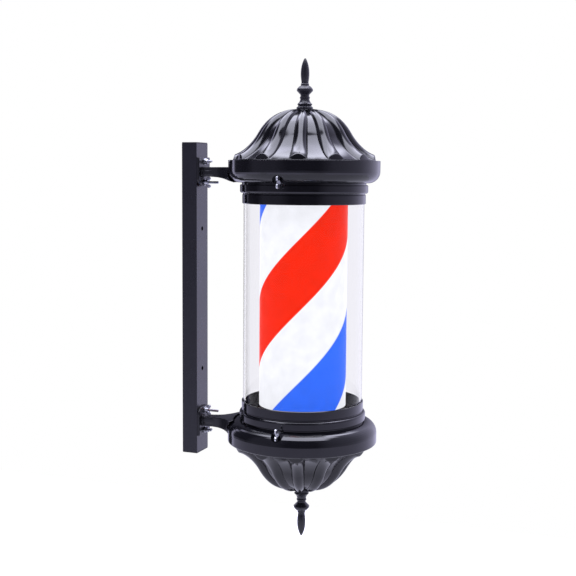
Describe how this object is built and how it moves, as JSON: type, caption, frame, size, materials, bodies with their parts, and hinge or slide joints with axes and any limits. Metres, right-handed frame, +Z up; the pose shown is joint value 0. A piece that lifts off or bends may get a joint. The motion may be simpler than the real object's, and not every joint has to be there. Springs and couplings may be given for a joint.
{
  "type": "barber pole light",
  "caption": "Wall-mounted barber pole light: fluted black domes, clear tube, turning red, white and blue striped drum lit from inside, held by arms on a wall rail.",
  "frame": {"origin": "on the wall rail's back face and its centre line, level with the middle of the pole, 2.5 mm above the rail's middle", "axes": "+Z up, +Y into the wall, so the pole stands at -Y; +X to the right as seen from the room"},
  "size_m": [0.2186, 0.2953, 0.7],
  "materials": {
    "rail_black": "satin black powder coat",
    "cap_black": "fine grained moulding",
    "arm_black": "satin moulding",
    "housing_black": "polished moulding",
    "dome_black": "polished moulding",
    "finial_black": "polished",
    "plate_black": "semi-gloss black",
    "clear_acrylic": "clear polished acrylic",
    "gasket_rubber": "matt",
    "drum_stripes": "printed with red, white and blue spiral bands, lit from inside",
    "drum_white": "white moulding",
    "hub_brass": "turned",
    "steel": "zinc plated",
    "zinc": "bright die-cast zinc",
    "motor_steel": "galvanised sheet",
    "nylon": "natural nylon",
    "terminal_brass": "turned",
    "post_aluminium": "extruded",
    "board_white": "white solder mask",
    "led_yellow": "phosphor",
    "driver_white": "moulded case",
    "gland_black": "nylon",
    "lead_white": "smooth sheath",
    "lead_red": "smooth insulation",
    "lead_blue": "smooth insulation"
  },
  "bodies": {
    "frame": {"wall_rail": "rail_black", "rail_cap_top": "cap_black", "rail_cap_bottom": "cap_black", "upper_arm": "arm_black", "lower_arm": "arm_black", "arm_bolts": "steel", "arm_washers": "steel", "arm_screws": "steel", "upper_housing": "housing_black", "lower_housing": "housing_black", "clear_tube": "clear_acrylic", "tube_gaskets": "gasket_rubber", "gear_motor": "motor_steel", "motor_screws": "steel", "lower_plate": "plate_black", "upper_plate": "plate_black", "guide_bush": "nylon", "bush_screws": "steel", "lamp_post": "post_aluminium", "post_screws": "steel", "led_boards": "board_white", "led_chips": "led_yellow", "led_driver": "driver_white", "driver_screws": "steel", "terminal_block": "nylon", "terminal_screws": "terminal_brass", "block_screws": "steel", "cable_gland": "gland_black", "gland_nut": "gland_black", "link_cable": "lead_white", "lamp_leads": "lead_red", "motor_leads": "lead_blue"},
    "drum": {"striped_drum": "drum_stripes", "drum_top_ring": "drum_white", "drum_bottom_disc": "drum_white", "drive_hub": "hub_brass", "hub_screws": "steel", "motor_shaft": "steel"},
    "dome": {"dome_cap": "dome_black", "upper_finial": "finial_black", "upper_finial_nut": "steel"},
    "bowl": {"bowl_cap": "dome_black", "lower_finial": "finial_black", "lower_finial_nut": "steel"},
    "wing_nut_1": {"wing_nut_1": "zinc"},
    "thumb_screw_1": {"thumb_screw_1": "zinc"},
    "wing_nut_2": {"wing_nut_2": "zinc"},
    "thumb_screw_2": {"thumb_screw_2": "zinc"},
    "wing_nut_3": {"wing_nut_3": "zinc"},
    "thumb_screw_3": {"thumb_screw_3": "zinc"},
    "wing_nut_4": {"wing_nut_4": "zinc"},
    "thumb_screw_4": {"thumb_screw_4": "zinc"}
  },
  "joints": [
    {"name": "drum_spin", "type": "hinge", "parent": "frame", "child": "drum", "pos_m": [0, -0.186, 0], "axis": [0, 0, 1], "continuous": true},
    {"name": "dome_lift", "type": "slide", "parent": "frame", "child": "dome", "axis": [0, 0, 1], "range_m": [0, 0.06]},
    {"name": "bowl_drop", "type": "slide", "parent": "frame", "child": "bowl", "axis": [0, 0, -1], "range_m": [0, 0.06]},
    {"name": "wing_nut_1_turn", "type": "hinge", "parent": "frame", "child": "wing_nut_1", "pos_m": [0, -0.029, 0.2035], "axis": [0, -1, 0], "range_deg": [0, 990]},
    {"name": "wing_nut_2_turn", "type": "hinge", "parent": "frame", "child": "wing_nut_2", "pos_m": [0, -0.029, 0.1725], "axis": [0, -1, 0], "range_deg": [0, 990]},
    {"name": "wing_nut_3_turn", "type": "hinge", "parent": "frame", "child": "wing_nut_3", "pos_m": [0, -0.029, -0.1725], "axis": [0, -1, 0], "range_deg": [0, 990]},
    {"name": "wing_nut_4_turn", "type": "hinge", "parent": "frame", "child": "wing_nut_4", "pos_m": [0, -0.029, -0.2035], "axis": [0, -1, 0], "range_deg": [0, 990]},
    {"name": "thumb_screw_1_turn", "type": "hinge", "parent": "frame", "child": "thumb_screw_1", "pos_m": [-0.1, -0.186, 0.1745], "axis": [-1, 0, 0], "range_deg": [0, 810]},
    {"name": "thumb_screw_2_turn", "type": "hinge", "parent": "frame", "child": "thumb_screw_2", "pos_m": [0.1, -0.186, 0.1745], "axis": [1, 0, 0], "range_deg": [0, 810]},
    {"name": "thumb_screw_3_turn", "type": "hinge", "parent": "frame", "child": "thumb_screw_3", "pos_m": [-0.1, -0.186, -0.1745], "axis": [-1, 0, 0], "range_deg": [0, 810]},
    {"name": "thumb_screw_4_turn", "type": "hinge", "parent": "frame", "child": "thumb_screw_4", "pos_m": [0.1, -0.186, -0.1745], "axis": [1, 0, 0], "range_deg": [0, 810]}
  ]
}
